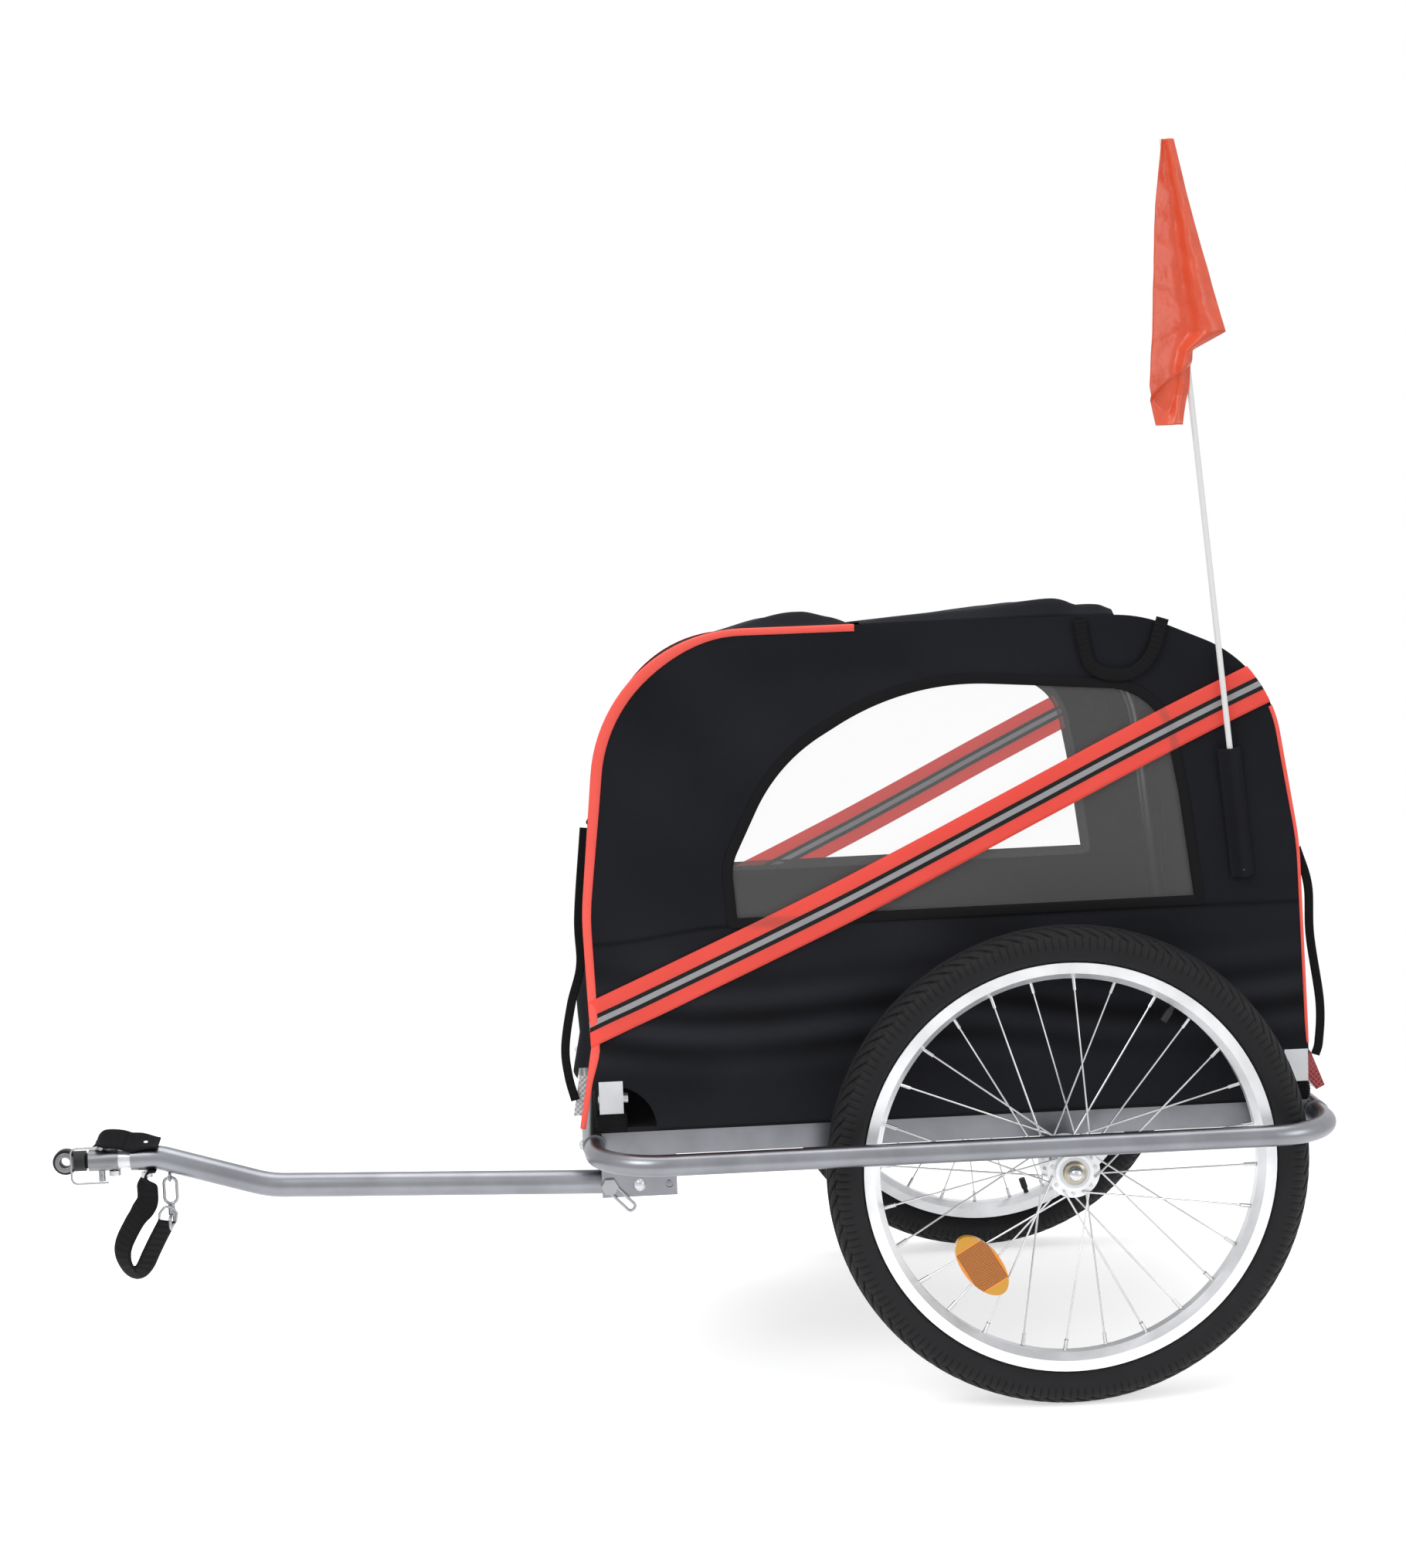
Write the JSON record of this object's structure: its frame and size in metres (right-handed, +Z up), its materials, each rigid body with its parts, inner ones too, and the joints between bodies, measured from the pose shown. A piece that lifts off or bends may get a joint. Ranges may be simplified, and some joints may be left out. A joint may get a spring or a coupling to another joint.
{
  "type": "dog bike trailer",
  "caption": "Two-wheeled bicycle trailer for a dog: a tube frame with wheel guards, a folding fabric cabin with windows and a front door, a folding drawbar with a hitch and a flag.",
  "frame": {"origin": "on the ground under the middle of the overall box", "axes": "+X from the hitch to the rear, +Z up, +Y to the trailer's right when looking forwards along -X"},
  "size_m": [1.3314, 0.7318, 1.2869],
  "materials": {
    "silver_tube": "satin silver paint",
    "zinc_steel": "zinc plated",
    "alloy": "polished alloy",
    "spoke_steel": "bright",
    "tyre_black": "matte",
    "black_rubber": "matte",
    "black_cloth": "woven",
    "coral_cloth": "woven",
    "stripe_tape": "woven tape with a grey reflective middle",
    "black_webbing": "ribbed",
    "clear_film": "clear",
    "amber_lens": "prismatic",
    "red_lens": "prismatic",
    "clear_lens": "prismatic",
    "orange_vinyl": "glossy vinyl",
    "white_pole": "gloss",
    "black_board": "matte"
  },
  "bodies": {
    "frame": {"front_cross_tube": "silver_tube", "rear_cross_tube": "silver_tube", "left_side_rail": "silver_tube", "right_side_rail": "silver_tube", "left_wheel_guard": "silver_tube", "right_wheel_guard": "silver_tube", "guard_screws": "zinc_steel", "axle_brackets": "silver_tube", "axles": "zinc_steel", "hinge_brackets": "zinc_steel", "hinge_bolts": "zinc_steel", "floor_board": "black_board", "drawbar_bracket": "zinc_steel", "drawbar_pivot_bolt": "zinc_steel", "left_side_panel": "black_cloth", "right_side_panel": "black_cloth", "left_window": "clear_film", "right_window": "clear_film", "window_bindings": "black_webbing", "reflective_stripes": "stripe_tape", "edge_piping": "coral_cloth", "roof_panel": "black_cloth", "rear_panel": "black_cloth", "rain_cover": "black_cloth", "rear_tie_strap": "black_webbing", "rear_reflector": "red_lens"},
    "left_wheel": {"left_tyre": "tyre_black", "left_rim": "alloy", "left_inner_tube": "black_rubber", "left_spokes": "spoke_steel", "left_hub": "alloy", "left_hub_bearings": "zinc_steel", "left_wheel_reflector": "amber_lens"},
    "right_wheel": {"right_tyre": "tyre_black", "right_rim": "alloy", "right_inner_tube": "black_rubber", "right_spokes": "spoke_steel", "right_hub": "alloy", "right_hub_bearings": "zinc_steel", "right_wheel_reflector": "amber_lens"},
    "left_axle_button": {"left_axle_button": "spoke_steel"},
    "right_axle_button": {"right_axle_button": "spoke_steel"},
    "left_hoop": {"left_hoop": "silver_tube"},
    "right_hoop": {"right_hoop": "silver_tube"},
    "front_door": {"front_door": "black_cloth", "front_tie_strap": "black_webbing", "front_reflector": "clear_lens"},
    "flag_pocket": {"flag_pocket": "black_cloth"},
    "flag": {"flag_pole": "white_pole", "flag_pennant": "orange_vinyl"},
    "drawbar": {"drawbar_tube": "silver_tube", "hitch_inner_tube": "zinc_steel", "hitch_sleeve": "zinc_steel", "hitch_bolts": "zinc_steel", "safety_strap": "black_webbing", "snap_hook": "zinc_steel"},
    "drawbar_lock_pin": {"drawbar_lock_pin": "zinc_steel"},
    "hitch_head": {"hitch_plate": "zinc_steel", "hitch_knuckle": "black_rubber"},
    "hitch_lock_pin": {"hitch_lock_pin": "zinc_steel"}
  },
  "joints": [
    {"name": "left_wheel_spin", "type": "hinge", "parent": "frame", "child": "left_wheel", "pos_m": [0.37734, -0.305, 0.25], "axis": [0, 1, 0], "continuous": true},
    {"name": "right_wheel_spin", "type": "hinge", "parent": "frame", "child": "right_wheel", "pos_m": [0.37734, 0.305, 0.25], "axis": [0, 1, 0], "continuous": true},
    {"name": "left_button_press", "type": "slide", "parent": "frame", "child": "left_axle_button", "axis": [0, 1, 0], "range_m": [0, 0.003], "stiffness_N_per_m": 800},
    {"name": "right_button_press", "type": "slide", "parent": "frame", "child": "right_axle_button", "axis": [0, -1, 0], "range_m": [0, 0.003], "stiffness_N_per_m": 800},
    {"name": "left_hoop_fold", "type": "hinge", "parent": "frame", "child": "left_hoop", "pos_m": [-0.08866, -0.247, 0.33], "axis": [-1, 0, 0], "range_deg": [0, 75], "deforming": ["front_door", "rear_panel"]},
    {"name": "right_hoop_fold", "type": "hinge", "parent": "frame", "child": "right_hoop", "pos_m": [-0.06266, 0.247, 0.33], "axis": [1, 0, 0], "range_deg": [0, 75]},
    {"name": "pocket_drop", "type": "slide", "parent": "frame", "child": "flag_pocket", "axis": [0, 0, -1], "range_m": [0, 0.2]},
    {"name": "flag_lift", "type": "slide", "parent": "flag_pocket", "child": "flag", "axis": [0.0939, 0, -0.9956], "range_m": [-0.13, 0]},
    {"name": "door_open", "type": "hinge", "parent": "frame", "child": "front_door", "pos_m": [-0.08704, 0, 0.61187], "axis": [-0.0492, -0.9983, 0.0317], "range_deg": [-100, 0]},
    {"name": "drawbar_fold", "type": "hinge", "parent": "frame", "child": "drawbar", "pos_m": [-0.06266, -0.236, 0.238], "axis": [0, -1, 0], "range_deg": [0, 180], "deforming": ["safety_strap"]},
    {"name": "drawbar_pin_pull", "type": "slide", "parent": "frame", "child": "drawbar_lock_pin", "axis": [0, 1, 0], "range_m": [-0.012, 0]},
    {"name": "hitch_yaw", "type": "hinge", "parent": "drawbar", "child": "hitch_head", "pos_m": [-0.61666, -0.236, 0.2885], "axis": [0, 0, 1], "range_deg": [-10, 10]},
    {"name": "hitch_pin_pull", "type": "slide", "parent": "drawbar", "child": "hitch_lock_pin", "axis": [0, 0, -1], "range_m": [-0.034, 0]}
  ],
  "couplings": [
    {"joint": "right_hoop_fold", "follows": "left_hoop_fold", "ratio": 1},
    {"joint": "pocket_drop", "follows": "left_hoop_fold", "m_per_rad": 0.15279}
  ]
}
